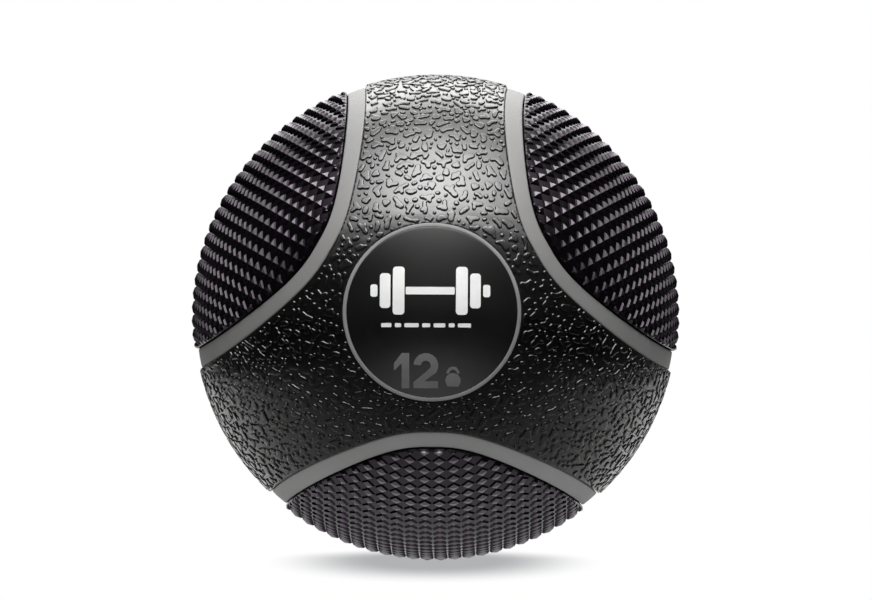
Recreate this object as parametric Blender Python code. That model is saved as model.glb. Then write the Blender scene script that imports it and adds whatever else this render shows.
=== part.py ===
"""Medicine ball, 230 mm, 12 lb class: studded grip panels, grey trim bands, pebble-grain covers, badges,
two-part carcass, bladder and needle valve.

Frame: metres, +Z up, origin at the centre of the ball. The badge axis is the Y axis, front badge on -Y.
Directions on the ball are a polar angle from the front pole and an azimuth about the badge axis
(0 on +X, 90 on +Z), in degrees. The three grip panels are centred on the equator.
"""

import math
from collections import namedtuple

import bmesh
import bpy
from mathutils import Matrix, Vector

# ---- radii from the centre of the ball (metres) ----
R_COVER = 0.1150  # crest of the pebble grain, half of the nominal diameter
R_PANEL = 0.1160  # tips of the studs
R_BAND = 0.1137  # recessed grey bands
R_BADGE = 0.1151  # crown of the badge discs
R_RING = 0.1152  # crest of the badge rings, a touch proud
R_SKIN = 0.1105  # underside of everything that is bonded on the carcass
R_BADGE_SKIN = 0.1120  # underside of the badge inlays
R_CARCASS = 0.1097
R_CARCASS_IN = 0.0874
R_BLADDER = 0.0860
R_BLADDER_IN = 0.0844

# ---- layout on the ball (degrees) ----
FRONT, BACK = -1.0, 1.0  # side of the badge axis, as the sign of y
PANEL_AZIMUTHS = {"bottom": 270.0, "left": 150.0, "right": 30.0}
HALF_PITCH = 180.0 / len(PANEL_AZIMUTHS)  # from a panel's centre to midway between two panels
SEAM = 0.09  # half of the joint line (0.18 degrees is 0.36 mm)
SPLIT = 90.0 - SEAM  # edge of a half at the equator, as a polar angle
RING_OUT = 20.30  # badge ring, polar angles
RING_IN = 19.40
RING_SEAM = 0.08  # half of the joint between badge ring and disc

# half-width along the equator and half-height towards each pole, superellipse exponents of the two
Outline = namedtuple("Outline", "half_width half_height width_power height_power")
BAND_OUTLINE = Outline(42.8, 61.9, 2.32, 3.27)
PANEL_OUTLINE = Outline(38.1, 57.65, 2.30, 2.94)  # shared by band and panel
LOOP = 64  # segments round an outline, a multiple of 4
QUARTER_STEPS = LOOP // 4
OUTLINE_SAMPLES = 720  # fine steps for measuring a quarter of the outline

# ---- grip panels ----
CONTACT_R = 0.0060  # flat patch the ball rests on
# rings of points: (share of the way from the patch to the outline, step round the outline)
PANEL_RINGS = ((1.0, 1), (0.86, 1), (0.71, 2), (0.55, 2), (0.38, 2), (0.20, 4), (0.0, 4))

# ---- covers ----
COVER_CORNER = 0.34  # share of a sector's rows that end on the badge opening
COVER_ACROSS = 3  # faces from the band to the far side of a sector

# ---- valve (metres) ----
VALVE_NECK_R = 0.0042
VALVE_STEM_R = 0.0062
VALVE_FLANGE_R = 0.0140
VALVE_BORE_R = 0.0026
VALVE_SEAT = 0.0884  # outer face of the flange, from the centre of the ball
FLANGE_CHAMFER = 0.0006
SHOULDER_GAP = 0.0008  # from the stem's shoulder to the underside of the badge
NECK_RECESS = 0.0001  # end of the neck below the badge crown
NECK_CHAMFER = 0.0005
MOUTH_MARGIN = 0.0010  # bladder mouth beyond the valve bore
CORE_R = 0.0023
NEEDLE_R = 0.0008
CORE_RECESS = 0.0012  # end of the core below the badge crown
FIT = 0.0003
CARCASS_FIT = FIT * 1.5  # round the stem and the flange

MERGE_DIST = 1e-6
SHARP_ANGLE = 35.0  # degrees

MATERIALS = {
    "pebble_rubber": dict(colour=(0.022, 0.022, 0.024), roughness=0.42),
    "stud_rubber": dict(colour=(0.030, 0.028, 0.030), roughness=0.50),
    "grey_rubber": dict(colour=(0.17, 0.17, 0.175), roughness=0.55),
    "ring_grey": dict(colour=(0.27, 0.27, 0.28), roughness=0.45),
    "badge_rubber": dict(colour=(0.018, 0.018, 0.020), roughness=0.25),
    "carcass_rubber": dict(colour=(0.040, 0.040, 0.042), roughness=0.80),
    "butyl": dict(colour=(0.060, 0.058, 0.055), roughness=0.60),
    "valve_rubber": dict(colour=(0.030, 0.030, 0.032), roughness=0.50),
    "core_rubber": dict(colour=(0.16, 0.13, 0.09), roughness=0.55),
}


def clear_scene():
    for obj in list(bpy.data.objects):
        bpy.data.objects.remove(obj, do_unlink=True)
    for blocks in (bpy.data.meshes, bpy.data.materials):
        for block in list(blocks):
            blocks.remove(block)


def material(name, colour, roughness):
    mat = bpy.data.materials.new(name)
    mat.use_nodes = True
    shader = mat.node_tree.nodes["Principled BSDF"]
    shader.inputs["Base Color"].default_value = (*colour, 1.0)
    shader.inputs["Roughness"].default_value = roughness
    mat.diffuse_color = (*colour, 1.0)
    return mat


# ---- directions and outlines on the ball ----
def direction(polar, azimuth):
    """Unit vector at a polar angle from the front pole (-Y) and an azimuth."""
    p, a = math.radians(polar), math.radians(azimuth)
    return Vector((math.sin(p) * math.cos(a), -math.cos(p), math.sin(p) * math.sin(a)))


def outline_point(outline, grow, t):
    """Point of an outline grown by some degrees: (azimuth from the panel centre,
    elevation towards the front pole)."""
    cos_t, sin_t = math.cos(t), math.sin(t)
    across = math.copysign(abs(cos_t) ** (2.0 / outline.width_power), cos_t)
    along = math.copysign(abs(sin_t) ** (2.0 / outline.height_power), sin_t)
    return (outline.half_width + grow) * across, (outline.half_height + grow) * along


def quarter_parameters():
    """Parameters that space a quarter of the band outline evenly along its length,
    equator to apex."""
    fine = OUTLINE_SAMPLES
    points = [outline_point(BAND_OUTLINE, 0.0, 0.5 * math.pi * i / fine) for i in range(fine + 1)]
    dirs = [direction(90.0 - elevation, azimuth) for azimuth, elevation in points]
    lengths = [0.0]
    for a, b in zip(dirs, dirs[1:]):
        lengths.append(lengths[-1] + (a - b).length)
    params, k = [], 0
    for i in range(QUARTER_STEPS + 1):
        want = lengths[-1] * i / QUARTER_STEPS
        while k < fine and lengths[k + 1] < want:
            k += 1
        k = min(k, fine - 1)
        part = (want - lengths[k]) / (lengths[k + 1] - lengths[k])
        params.append(0.5 * math.pi * (k + part) / fine)
    return params


QUARTER = quarter_parameters()


def outline_dirs(outline, grow, centre_azimuth):
    """Directions round the closed outline, counter-clockwise seen from outside
    with the front pole up."""
    first = [outline_point(outline, grow, t) for t in QUARTER]
    # the ends lie exactly on the axes of symmetry
    first[0] = (outline.half_width + grow, 0.0)
    first[-1] = (0.0, outline.half_height + grow)
    upper = first + [(-a, e) for a, e in reversed(first[:-1])]
    lower = [(a, -e) for a, e in reversed(upper[1:-1])]
    return [direction(90.0 - e, centre_azimuth + a) for a, e in upper + lower]


# ---- mesh helpers ----
def merge_close(bm):
    bmesh.ops.remove_doubles(bm, verts=bm.verts, dist=MERGE_DIST)


def link(name, bm, mat):
    """Close the mesh up, point its faces out and make it an object."""
    merge_close(bm)
    bmesh.ops.recalc_face_normals(bm, faces=bm.faces)
    if bm.calc_volume(signed=True) < 0:
        bmesh.ops.reverse_faces(bm, faces=bm.faces)
    mesh = bpy.data.meshes.new(name)
    bm.to_mesh(mesh)
    bm.free()
    mesh.materials.append(mat)
    mesh.shade_smooth()
    mesh.set_sharp_from_angle(angle=math.radians(SHARP_ANGLE))
    bpy.context.collection.objects.link(bpy.data.objects.new(name, mesh))


def to_skin(co):
    return co.normalized() * R_SKIN


def link_shell(name, bm, mat, inner=to_skin):
    """Extrude an open patch of the ball's surface into a shell and link it.
    inner maps an outer vertex position to the inner one."""
    bmesh.ops.recalc_face_normals(bm, faces=bm.faces)
    made = bmesh.ops.extrude_face_region(bm, geom=list(bm.faces), use_keep_orig=True)
    for item in made["geom"]:
        if isinstance(item, bmesh.types.BMVert):
            item.co = inner(item.co)
    link(name, bm, mat)


def stitch(bm, outer, inner):
    """Faces between two closed loops of vertices; the inner one may have half as many."""
    n, m = len(outer), len(inner)
    for i in range(m):
        j = (i + 1) % m
        if n == m:
            bm.faces.new((outer[i], outer[j], inner[j], inner[i]))
            continue
        a, b, c = outer[2 * i], outer[2 * i + 1], outer[(2 * i + 2) % n]
        bm.faces.new((a, b, inner[i]))
        bm.faces.new((b, inner[j], inner[i]))
        bm.faces.new((b, c, inner[j]))


# ---- grip panels ----
def grip_panel(name, azimuth, mat):
    """Studded panel as its stud-tip envelope: rings of points from the outline
    to the flat contact patch in the middle."""
    bm = bmesh.new()
    edge = outline_dirs(PANEL_OUTLINE, -SEAM, azimuth)
    centre = direction(90.0, azimuth)
    patch = math.asin(CONTACT_R / R_PANEL)
    rings = []
    for share, step in PANEL_RINGS:
        ring = []
        for rim in edge[::step]:
            # bearing of this outline point seen from the middle of the panel
            bearing = (rim - centre * rim.dot(centre)).normalized()
            reach = math.acos(rim.dot(centre))
            angle = patch + (reach - patch) * share
            point = centre * math.cos(angle) + bearing * math.sin(angle)
            ring.append(bm.verts.new(point * R_PANEL))
        rings.append(ring)
    for outer, inner in zip(rings, rings[1:]):
        stitch(bm, outer, inner)
    bm.faces.new(rings[-1])
    # the round patch lies in one plane square to the panel's centre line
    level = R_PANEL * math.cos(patch)
    for vert in rings[-1]:
        vert.co += centre * (level - vert.co.dot(centre))
    link_shell(name, bm, mat)


# ---- grey trim bands ----
def trim_band(name, azimuth, mat):
    bm = bmesh.new()
    outer = [bm.verts.new(d * R_BAND) for d in outline_dirs(BAND_OUTLINE, -SEAM, azimuth)]
    inner = [bm.verts.new(d * R_BAND) for d in outline_dirs(PANEL_OUTLINE, SEAM, azimuth)]
    stitch(bm, outer, inner)
    link_shell(name, bm, mat)


# ---- pebble covers ----
def cover_row(k):
    """Row k of a sector centred on azimuth 0 at the front: directions from the band outline
    to the badge opening or the midline between two panels."""
    corner = round(QUARTER_STEPS * COVER_CORNER)
    top = RING_OUT + SEAM
    at_equator = k == QUARTER_STEPS
    azimuth, elevation = outline_point(BAND_OUTLINE, SEAM, QUARTER[QUARTER_STEPS - k])
    azimuth = 0.0 if k == 0 else azimuth
    near = direction(SPLIT if at_equator else 90.0 - elevation, azimuth)
    if k <= corner:
        far = direction(top, HALF_PITCH * k / corner)
    else:
        down = top + (SPLIT - top) * (k - corner) / (QUARTER_STEPS - corner)
        far = direction(down, HALF_PITCH)
    row = []
    for i in range(COVER_ACROSS + 1):
        d = near.lerp(far, i / COVER_ACROSS)
        if at_equator:
            # hold the last row on the joint at the equator
            d.y = -math.cos(math.radians(SPLIT)) * d.length
        d.normalize()
        row.append(d)
    return row


def cover_sector(bm, side, azimuth, mirror):
    """One of the six mirrored sectors of a half cover, from the badge out to the equator."""
    turn = Matrix.Rotation(-math.radians(azimuth), 3, "Y")
    rows = []
    for k in range(QUARTER_STEPS + 1):
        row = []
        for d in cover_row(k):
            d = turn @ Vector((d.x, d.y, d.z * mirror))
            row.append(bm.verts.new(Vector((d.x, d.y * -side, d.z)) * R_COVER))
        rows.append(row)
    for a, b in zip(rows, rows[1:]):
        for i in range(COVER_ACROSS):
            bm.faces.new((a[i], a[i + 1], b[i + 1], b[i]))


def cover(name, side, mat):
    bm = bmesh.new()
    for azimuth in PANEL_AZIMUTHS.values():
        for mirror in (1.0, -1.0):
            cover_sector(bm, side, azimuth, mirror)
    merge_close(bm)
    gap = math.cos(math.radians(SPLIT)) * R_COVER

    def inner(co):
        point = to_skin(co)
        if abs(co.y) < gap * 1.01:
            # keep the joint face at the equator flat
            point.y = co.y
        return point

    link_shell(name, bm, mat, inner)


# ---- turned parts ----
def turned(name, profile, side, mat, steps):
    """Spin a closed profile of (radius, height) points about the badge axis;
    height grows outwards on the given side."""
    bm = bmesh.new()
    verts = [bm.verts.new(Vector((r, h * side, 0.0))) for r, h in profile]
    edges = [bm.edges.new((verts[i], verts[(i + 1) % len(verts)])) for i in range(len(verts))]
    bmesh.ops.spin(
        bm,
        geom=verts + edges,
        cent=(0.0, 0.0, 0.0),
        axis=(0.0, 1.0, 0.0),
        angle=2.0 * math.pi,
        steps=steps,
        use_merge=True,
        use_duplicate=False,
    )
    merge_close(bm)
    # the part of the profile on the axis sweeps no area
    loose = [e for e in bm.edges if not e.link_faces]
    bmesh.ops.delete(bm, geom=loose, context="EDGES")
    bmesh.ops.dissolve_degenerate(bm, dist=1e-7, edges=bm.edges)
    link(name, bm, mat)


def on_sphere(radius, polar):
    """Profile point on a sphere about the ball's centre."""
    angle = math.radians(polar)
    return radius * math.sin(angle), radius * math.cos(angle)


def arc(radius, start, end, count):
    """Profile points between two polar angles."""
    return [on_sphere(radius, start + (end - start) * i / count) for i in range(count + 1)]


def polar_at(radius, distance):
    """Polar angle at which a sphere of this radius is this far from the axis."""
    return math.degrees(math.asin(distance / radius))


def badge_ring(name, side, mat):
    low, high = RING_IN + RING_SEAM, RING_OUT - SEAM
    profile = arc(R_BADGE_SKIN, low, high, 1) + [
        on_sphere(R_COVER, high),
        on_sphere(R_RING, (low + high) / 2),
        on_sphere(R_COVER, low),
    ]
    turned(name, profile, side, mat, steps=48)


def badge_disc(name, side, hole, mat):
    """Badge inlay with a hole of this radius in the middle, none if it is zero."""
    edge = RING_IN - RING_SEAM
    under = arc(R_BADGE_SKIN, polar_at(R_BADGE_SKIN, hole), edge, 2)
    crown = arc(R_BADGE, edge, polar_at(R_BADGE, hole), 4)
    turned(name, under + crown, side, mat, steps=40)


def carcass(name, side, valve, mat):
    """Half of the thick carcass; with a valve it is bored for the stem
    and counterbored for the flange."""
    if valve:
        stem = VALVE_STEM_R + CARCASS_FIT
        flange = VALVE_FLANGE_R + CARCASS_FIT
        seat = VALVE_SEAT + FIT
        outer = arc(R_CARCASS, SPLIT, polar_at(R_CARCASS, stem), 9)
        bore = [(stem, seat), (flange, seat)]
        inner = arc(R_CARCASS_IN, polar_at(R_CARCASS_IN, flange), SPLIT, 6)
    else:
        outer = arc(R_CARCASS, SPLIT, 0.0, 9)
        bore = []
        inner = arc(R_CARCASS_IN, 0.0, SPLIT, 7)
    # both ends at the same height, so that the joint face is flat
    low = R_CARCASS * math.cos(math.radians(SPLIT))
    outer[0] = (math.sqrt(R_CARCASS**2 - low**2), low)
    inner[-1] = (math.sqrt(R_CARCASS_IN**2 - low**2), low)
    turned(name, outer + bore + inner, side, mat, steps=32)


def bladder(name, mat):
    """Airtight liner with the valve mouth at the back pole."""
    mouth = VALVE_BORE_R + MOUTH_MARGIN
    outer = arc(R_BLADDER, 180.0, polar_at(R_BLADDER, mouth), 16)
    inner = arc(R_BLADDER_IN, polar_at(R_BLADDER_IN, mouth), 180.0, 14)
    turned(name, outer + inner, BACK, mat, steps=28)


def valve_housing(name, mat):
    """Flanged stem from the bladder, through the carcass, to a neck that ends
    just below the crown of the back badge."""
    flange_low = R_BLADDER + FIT
    shoulder = R_BADGE_SKIN - SHOULDER_GAP
    top = R_BADGE - NECK_RECESS
    profile = [
        (VALVE_BORE_R, flange_low),
        (VALVE_FLANGE_R, flange_low),
        (VALVE_FLANGE_R, VALVE_SEAT - FLANGE_CHAMFER),
        (VALVE_FLANGE_R - FLANGE_CHAMFER, VALVE_SEAT),
        (VALVE_STEM_R, VALVE_SEAT),
        (VALVE_STEM_R, shoulder),
        (VALVE_NECK_R, shoulder),
        (VALVE_NECK_R, top - NECK_CHAMFER),
        (VALVE_NECK_R - NECK_CHAMFER, top),
        (VALVE_BORE_R + NECK_CHAMFER, top),
        (VALVE_BORE_R, top - NECK_CHAMFER),
    ]
    turned(name, profile, BACK, mat, steps=32)


def valve_core(name, mat):
    """Soft plug; a blind lead-in guides the inflation needle."""
    top = R_BADGE - CORE_RECESS
    profile = [
        # tapered end inside the bladder
        (0.0, R_BLADDER_IN - 0.0016),
        (CORE_R - 0.0008, R_BLADDER_IN - 0.0010),
        (CORE_R, R_BLADDER_IN + 0.0016),
        # chamfered outer end
        (CORE_R, top - 0.0003),
        (CORE_R - 0.0003, top),
        # flared lead-in with a conical bottom
        (NEEDLE_R + 0.0004, top),
        (NEEDLE_R, top - 0.0010),
        (NEEDLE_R, top - 0.0080),
        (0.0, top - 0.0090),
    ]
    turned(name, profile, BACK, mat, steps=24)


def main():
    clear_scene()
    originals = {name: material(name, **look) for name, look in MATERIALS.items()}

    def own(name):
        # each piece has its own copy of its material
        return originals[name].copy()

    cover("front_cover", FRONT, own("pebble_rubber"))
    cover("back_cover", BACK, own("pebble_rubber"))
    for place, azimuth in PANEL_AZIMUTHS.items():
        grip_panel("grip_panel_" + place, azimuth, own("stud_rubber"))
        trim_band("trim_band_" + place, azimuth, own("grey_rubber"))
    badge_ring("front_badge_ring", FRONT, own("ring_grey"))
    badge_ring("back_badge_ring", BACK, own("ring_grey"))
    badge_disc("front_badge_disc", FRONT, 0.0, own("badge_rubber"))
    badge_disc("back_badge_disc", BACK, VALVE_NECK_R + FIT, own("badge_rubber"))
    carcass("carcass_front_half", FRONT, False, own("carcass_rubber"))
    carcass("carcass_back_half", BACK, True, own("carcass_rubber"))
    bladder("bladder", own("butyl"))
    valve_housing("valve_housing", own("valve_rubber"))
    valve_core("valve_core", own("core_rubber"))


main()
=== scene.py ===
"""Medicine ball: pebbled covers, studded grip panels, trim bands and printed badges on the CAD frame,
with procedural rubber materials and a white studio.

Frame: metres, +Z up, origin at the centre of the ball, badge axis on Y with the front badge at -Y.
Directions on the ball are a polar angle from the front pole and an azimuth about the badge axis
(0 on +X, 90 on +Z), in degrees. "dirs" are unit vectors from the centre, one a row.
"""

import copy
import math
import bpy
import numpy as np
from mathutils import Euler, Matrix, Vector
from mathutils.geometry import delaunay_2d_cdt


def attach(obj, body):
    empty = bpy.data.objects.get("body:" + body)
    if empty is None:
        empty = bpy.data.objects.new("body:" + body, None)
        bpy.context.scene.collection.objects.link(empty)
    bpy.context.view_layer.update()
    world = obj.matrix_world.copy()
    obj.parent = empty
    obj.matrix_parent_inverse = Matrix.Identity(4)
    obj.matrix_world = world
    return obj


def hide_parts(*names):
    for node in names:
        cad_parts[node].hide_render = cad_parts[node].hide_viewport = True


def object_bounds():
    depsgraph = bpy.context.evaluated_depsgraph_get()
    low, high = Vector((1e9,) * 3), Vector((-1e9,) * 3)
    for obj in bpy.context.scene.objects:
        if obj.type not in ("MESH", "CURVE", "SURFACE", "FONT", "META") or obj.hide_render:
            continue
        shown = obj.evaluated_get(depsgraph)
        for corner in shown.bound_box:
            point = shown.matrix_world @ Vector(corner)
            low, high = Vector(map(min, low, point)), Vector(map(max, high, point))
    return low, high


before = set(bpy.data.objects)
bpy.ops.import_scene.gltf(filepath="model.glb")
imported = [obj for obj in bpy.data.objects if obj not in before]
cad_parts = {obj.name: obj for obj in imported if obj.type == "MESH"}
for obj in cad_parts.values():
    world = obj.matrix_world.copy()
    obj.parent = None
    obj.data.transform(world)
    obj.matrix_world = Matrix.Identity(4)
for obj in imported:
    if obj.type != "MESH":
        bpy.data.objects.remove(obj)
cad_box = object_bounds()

# ---- radii and heights, in metres ----
MM = 0.001
R_CREST = 0.1150  # tops of the pebble grain
CREST_MM = R_CREST / MM
GRAIN = 0.00062  # height of the grain over the ground between
R_TIP = 0.1160  # tips of the studs
STUD_H = 0.00142
R_BAND = 0.1137
R_BADGE = 0.1151
R_RING = 0.1152
R_UNDER = 0.1108  # underside of the thin surface shells
VALVE_HOLE = 0.0045  # radius of the hole in the back disc
FLOOR_Z = cad_box[0][2]

# ---- layout on the ball, in degrees ----
PANELS = {"bottom": 270.0, "left": 150.0, "right": 30.0}  # azimuth of each grip panel's centre
# outlines: half-width, half-height and the superellipse exponents across and up
BAND = (42.8, 61.9, 2.32, 3.27)
PANEL = (38.1, 57.65, 2.30, 2.94)
SEAM = 0.09  # each piece stops this far short of a shared border
RING_OUT, RING_IN = 20.30, 19.40
RING_GAP = 0.03  # the badge ring and disc stop this far short of their borders
STUD_X, STUD_Y = 3.30, 2.65  # stud pitch along a row and from row to row
FRONT, BACK = -1, 1  # sides of the ball, as signs of Y

rng = np.random.default_rng(4107)


# ---------------------------------------------------------------- geometry on the ball
def unit(vectors):
    return vectors / np.linalg.norm(vectors, axis=-1, keepdims=True)


def direction(polar, azimuth):
    pol, azi = np.radians(polar), np.radians(azimuth)
    return np.stack([np.sin(pol) * np.cos(azi), -np.cos(pol) + 0 * azi, np.sin(pol) * np.sin(azi)], -1)


def panel_coords(dirs, azimuth):
    """Azimuth from a panel's centre and elevation from the equator towards the front pole."""
    up = np.degrees(np.arcsin(np.clip(-dirs[..., 1], -1, 1)))
    across = np.degrees(np.arctan2(dirs[..., 2], dirs[..., 0])) - azimuth
    return (across + 180.0) % 360.0 - 180.0, up


def outline_distance(dirs, azimuth, outline):
    """Degrees from a panel outline, positive inside; exact enough near the outline."""
    half_width, half_height, power_x, power_y = outline
    across, up = panel_coords(dirs, azimuth)
    part_x, part_y = np.abs(across) / half_width, np.abs(up) / half_height
    level = part_x**power_x + part_y**power_y
    slope_x = power_x / half_width * part_x ** (power_x - 1)
    slope_y = power_y / half_height * part_y ** (power_y - 1)
    shrink = np.maximum(np.cos(np.radians(up)), 0.05)
    slope = np.maximum(np.hypot(slope_x / shrink, slope_y), 0.012)
    return np.clip((1 - level) / slope, -30, 30)


def pole_angle(dirs, side):
    return np.degrees(np.arccos(np.clip(dirs[..., 1] * side, -1, 1)))


def cover_margin(dirs, side):
    """Distance from the ring and band borders, which the grain stops short of."""
    margin = pole_angle(dirs, side) - (RING_OUT + SEAM)
    for azimuth in PANELS.values():
        margin = np.minimum(margin, -outline_distance(dirs, azimuth, BAND) - SEAM)
    return margin


def cover_region(dirs, side):
    """Positive inside one pebble cover, which also ends at the equator."""
    return np.minimum(cover_margin(dirs, side), (90 - SEAM) - pole_angle(dirs, side))


def tangents(dirs):
    steep = np.abs(dirs[:, 1:2]) < 0.9
    helper = np.where(steep, np.array([[0.0, 1.0, 0.0]]), np.array([[1.0, 0.0, 0.0]]))
    first = unit(np.cross(dirs, helper))
    return first, np.cross(dirs, first)


def slide_to_zero(dirs, field, limit=0.4, step=1e-4):
    """Move directions along the surface to where a field is zero, in two rounds of at most limit
    degrees each. Also gives the uphill direction there."""
    tan1, tan2 = tangents(dirs)
    for _ in range(2):
        value = field(dirs)
        slope1 = (field(unit(dirs + tan1 * step)) - value) / step
        slope2 = (field(unit(dirs + tan2 * step)) - value) / step
        slope = np.maximum(np.hypot(slope1, slope2), 1e-3)
        uphill = (slope1 / slope)[:, None] * tan1 + (slope2 / slope)[:, None] * tan2
        size = np.clip(-value / slope, -math.radians(limit), math.radians(limit))
        dirs = unit(dirs + size[:, None] * uphill)
    return dirs, uphill


# ---------------------------------------------------------------- triangle meshes
def weld(points, fineness, offset):
    """First index of each distinct point, and the distinct point each point belongs to."""
    key = np.round(points * fineness).astype(np.int64) + offset
    key = (key[:, 0] << 42) + (key[:, 1] << 21) + key[:, 2]
    _, first, back = np.unique(key, return_index=True, return_inverse=True)
    return first, back.reshape(-1)


ICO_TURN = (0.31, 0.17, 0.53)  # keeps the icosahedron's symmetry off the ball's axes
ICO_ARC = 1.10715  # angle between neighbouring corners, radians
ICO_FACES = [
    (0, 11, 5), (0, 5, 1), (0, 1, 7), (0, 7, 10), (0, 10, 11),
    (1, 5, 9), (5, 11, 4), (11, 10, 2), (10, 7, 6), (7, 1, 8),
    (3, 9, 4), (3, 4, 2), (3, 2, 6), (3, 6, 8), (3, 8, 9),
    (4, 9, 5), (2, 4, 11), (6, 2, 10), (8, 6, 7), (9, 8, 1),
]


def ico_grid(splits):
    """Icosahedron with each face split and pushed out to the unit sphere; shared points are welded."""
    gold = (1 + 5**0.5) / 2
    corners = unit(np.array([
        (-1, gold, 0), (1, gold, 0), (-1, -gold, 0), (1, -gold, 0),
        (0, -1, gold), (0, 1, gold), (0, -1, -gold), (0, 1, -gold),
        (gold, 0, -1), (gold, 0, 1), (-gold, 0, -1), (-gold, 0, 1),
    ], float))
    corners = corners @ np.array(Euler(ICO_TURN).to_matrix()).T
    i, j = np.meshgrid(np.arange(splits + 1), np.arange(splits + 1), indexing="ij")
    keep = i + j <= splits
    count = keep.sum()
    index = np.full(keep.shape, -1)
    index[keep] = np.arange(count)
    shares = (splits - i[keep] - j[keep], i[keep], j[keep])
    here, right, above, across = index[:-1, :-1], index[1:, :-1], index[:-1, 1:], index[1:, 1:]
    upper = (i + j < splits)[:-1, :-1]
    lower = (i + j < splits - 1)[:-1, :-1]
    face_tris = np.concatenate([
        np.stack([here[upper], right[upper], above[upper]], -1),
        np.stack([right[lower], across[lower], above[lower]], -1),
    ])
    points, tris = [], []
    for number, face in enumerate(ICO_FACES):
        # spherical weights keep the triangles even
        points.append(unit(sum(
            corners[corner] * np.sin(share / splits * ICO_ARC)[:, None]
            for corner, share in zip(face, shares)
        )))
        tris.append(face_tris + count * number)
    points, tris = np.concatenate(points), np.concatenate(tris)
    first, back = weld(points, 5e5, 600000)
    return points[first], back[tris]


def compact(dirs, tris, *extra):
    """Drop the points no triangle uses, from dirs and from any arrays that go with them."""
    used = np.zeros(len(dirs), bool)
    used[tris.ravel()] = True
    new = np.cumsum(used) - 1
    return (dirs[used], new[tris]) + tuple(array[used] for array in extra)


def directed_edges(tris):
    return np.concatenate([tris[:, [0, 1]], tris[:, [1, 2]], tris[:, [2, 0]]])


def plain_edges(tris):
    return np.unique(np.sort(directed_edges(tris), 1), axis=0)


def border_edges(tris):
    """Directed edges with a triangle on one side only."""
    edges = directed_edges(tris)
    count = int(tris.max()) + 1
    key = edges[:, 0].astype(np.int64) * count + edges[:, 1]
    back = edges[:, 1].astype(np.int64) * count + edges[:, 0]
    return edges[~np.isin(key, back)]


def wall(top_a, top_b, low_a, low_b):
    """Two triangles down from each border edge a-b to the points below it."""
    return np.concatenate([np.stack([top_b, top_a, low_a], -1), np.stack([top_b, low_a, low_b], -1)])


def outwardness(points, tris):
    """Positive for triangles that face away from the centre of the ball."""
    corner = points[tris]
    normal = np.cross(corner[:, 1] - corner[:, 0], corner[:, 2] - corner[:, 0])
    return (normal * corner.mean(1)).sum(1)


def clip(dirs, tris, region, snap=0.22):
    """Cut a triangulation of the sphere where region passes zero and keep the positive side. Points
    within a share snap of an edge from the border are slid on to it first, so no slivers form."""
    value = region(dirs)
    dirs, tris, value = compact(dirs, tris[(value[tris] > 0).any(1)], value)
    edges = plain_edges(tris[(value[tris] > 0).any(1) & (value[tris] < 0).any(1)])
    start, end = value[edges[:, 0]], value[edges[:, 1]]
    crossed = start * end < 0
    share = np.abs(start) / np.maximum(np.abs(start) + np.abs(end), 1e-12)
    near = np.unique(np.concatenate([
        edges[crossed & (share < snap), 0],
        edges[crossed & (share > 1 - snap), 1],
    ]))
    dirs[near], _ = slide_to_zero(dirs[near], region)
    value[near] = 0.0
    state = np.sign(np.where(np.abs(value) < 1e-9, 0, value))
    signs = state[tris]
    inside = (signs >= 0).all(1) & (signs > 0).any(1)
    cut = (signs > 0).any(1) & (signs < 0).any(1)
    flat = tris[(signs == 0).all(1)]
    flat = flat[region(unit(dirs[flat].mean(1))) > 0]
    fresh, made, pieces = [], {}, []

    def crossing(a, b):
        pair = (a, b) if a < b else (b, a)
        if pair not in made:
            low, high = pair
            along = value[low] / (value[low] - value[high])
            made[pair] = len(dirs) + len(fresh)
            fresh.append(dirs[low] * (1 - along) + dirs[high] * along)
        return made[pair]

    for tri in tris[cut].tolist():
        polygon = []
        for a, b in zip(tri, tri[1:] + tri[:1]):
            if state[a] >= 0:
                polygon.append(a)
            if state[a] * state[b] < 0:
                polygon.append(crossing(a, b))
        for k in range(1, len(polygon) - 1):
            pieces.append((polygon[0], polygon[k], polygon[k + 1]))
    on_border, _ = slide_to_zero(unit(np.array(fresh)), region)
    dirs = np.concatenate([dirs, on_border])
    border = np.zeros(len(dirs), bool)
    border[near] = True
    border[len(value):] = True
    return compact(dirs, np.concatenate([tris[inside], flat, np.array(pieces)]), border)


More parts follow.
